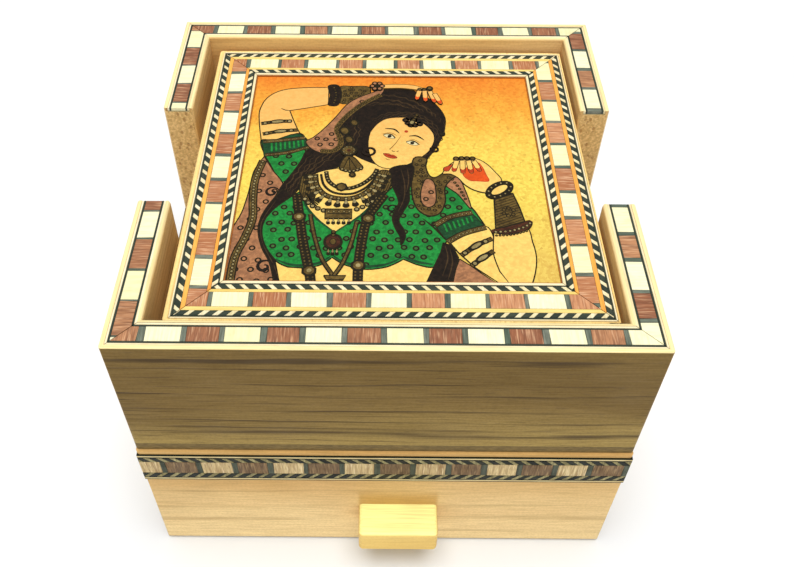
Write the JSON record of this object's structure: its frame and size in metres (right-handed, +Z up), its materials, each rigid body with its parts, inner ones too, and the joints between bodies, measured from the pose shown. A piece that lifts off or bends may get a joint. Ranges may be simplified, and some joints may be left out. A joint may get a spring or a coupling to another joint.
{
  "type": "inlaid coaster box",
  "caption": "Square wooden box with an inlaid rim, an open tray with two finger notches for a stack of picture coasters, and an inlaid drawer with a small pull below.",
  "frame": {"origin": "centre of the case's square footprint, on the surface it stands on", "axes": "+Z up, the drawer opens towards -Y, +X to the right of someone who faces the drawer"},
  "size_m": [0.114, 0.1226, 0.0845],
  "materials": {
    "case_wood": "pale pine, thin clear lacquer",
    "deck_wood": "darker board, bare edge",
    "drawer_wood": "pale pine, thin clear lacquer",
    "pull_wood": "pale end-grain block, lacquered",
    "rim_marquetry": "inlay of cream and rosewood tiles between fine dark and white lines, lacquered",
    "drawer_marquetry": "inlay of cream and rosewood tiles between rope and white lines, lacquered",
    "coaster_wood": "pale wood board",
    "coaster_marquetry": "inlay of cream and rosewood tiles between rope, orange and white lines, lacquered",
    "picture": "crushed-stone painting under a clear sealing coat"
  },
  "bodies": {
    "case": {"tray_wall_front": "case_wood", "tray_wall_back": "case_wood", "tray_wall_left_front": "case_wood", "tray_wall_left_back": "case_wood", "tray_wall_right_front": "case_wood", "tray_wall_right_back": "case_wood", "rim_inlay_front": "rim_marquetry", "rim_inlay_back": "rim_marquetry", "rim_inlay_left_front": "rim_marquetry", "rim_inlay_left_back": "rim_marquetry", "rim_inlay_right_front": "rim_marquetry", "rim_inlay_right_back": "rim_marquetry", "deck_board": "deck_wood", "case_left_wall": "case_wood", "case_right_wall": "case_wood", "case_back_wall": "case_wood", "case_bottom_board": "case_wood"},
    "drawer": {"drawer_front": "drawer_wood", "drawer_left_side": "drawer_wood", "drawer_right_side": "drawer_wood", "drawer_back": "drawer_wood", "drawer_bottom": "drawer_wood", "drawer_pull": "pull_wood", "drawer_band_inlay": "drawer_marquetry"},
    "coaster_1": {"coaster_1_base": "coaster_wood", "coaster_1_picture": "picture", "coaster_1_border_front": "coaster_marquetry", "coaster_1_border_right": "coaster_marquetry", "coaster_1_border_back": "coaster_marquetry", "coaster_1_border_left": "coaster_marquetry"},
    "coaster_2": {"coaster_2_base": "coaster_wood", "coaster_2_picture": "picture", "coaster_2_border_front": "coaster_marquetry", "coaster_2_border_right": "coaster_marquetry", "coaster_2_border_back": "coaster_marquetry", "coaster_2_border_left": "coaster_marquetry"},
    "coaster_3": {"coaster_3_base": "coaster_wood", "coaster_3_picture": "picture", "coaster_3_border_front": "coaster_marquetry", "coaster_3_border_right": "coaster_marquetry", "coaster_3_border_back": "coaster_marquetry", "coaster_3_border_left": "coaster_marquetry"},
    "coaster_4": {"coaster_4_base": "coaster_wood", "coaster_4_picture": "picture", "coaster_4_border_front": "coaster_marquetry", "coaster_4_border_right": "coaster_marquetry", "coaster_4_border_back": "coaster_marquetry", "coaster_4_border_left": "coaster_marquetry"},
    "coaster_5": {"coaster_5_base": "coaster_wood", "coaster_5_picture": "picture", "coaster_5_border_front": "coaster_marquetry", "coaster_5_border_right": "coaster_marquetry", "coaster_5_border_back": "coaster_marquetry", "coaster_5_border_left": "coaster_marquetry"},
    "coaster_6": {"coaster_6_base": "coaster_wood", "coaster_6_picture": "picture", "coaster_6_border_front": "coaster_marquetry", "coaster_6_border_right": "coaster_marquetry", "coaster_6_border_back": "coaster_marquetry", "coaster_6_border_left": "coaster_marquetry"}
  },
  "joints": [
    {"name": "drawer_slide", "type": "slide", "parent": "case", "child": "drawer", "axis": [0, -1, 0], "range_m": [0, 0.085]},
    {"name": "coaster_1_lift", "type": "slide", "parent": "case", "child": "coaster_1", "axis": [0, 0, 1], "range_m": [0, 0.0385]},
    {"name": "coaster_2_lift", "type": "slide", "parent": "coaster_1", "child": "coaster_2", "axis": [0, 0, 1], "range_m": [0, 0.0329]},
    {"name": "coaster_3_lift", "type": "slide", "parent": "coaster_2", "child": "coaster_3", "axis": [0, 0, 1], "range_m": [0, 0.0274]},
    {"name": "coaster_4_lift", "type": "slide", "parent": "coaster_3", "child": "coaster_4", "axis": [0, 0, 1], "range_m": [0, 0.0218]},
    {"name": "coaster_5_lift", "type": "slide", "parent": "coaster_4", "child": "coaster_5", "axis": [0, 0, 1], "range_m": [0, 0.0163]},
    {"name": "coaster_6_lift", "type": "slide", "parent": "coaster_5", "child": "coaster_6", "axis": [0, 0, 1], "range_m": [0, 0.0107]}
  ]
}
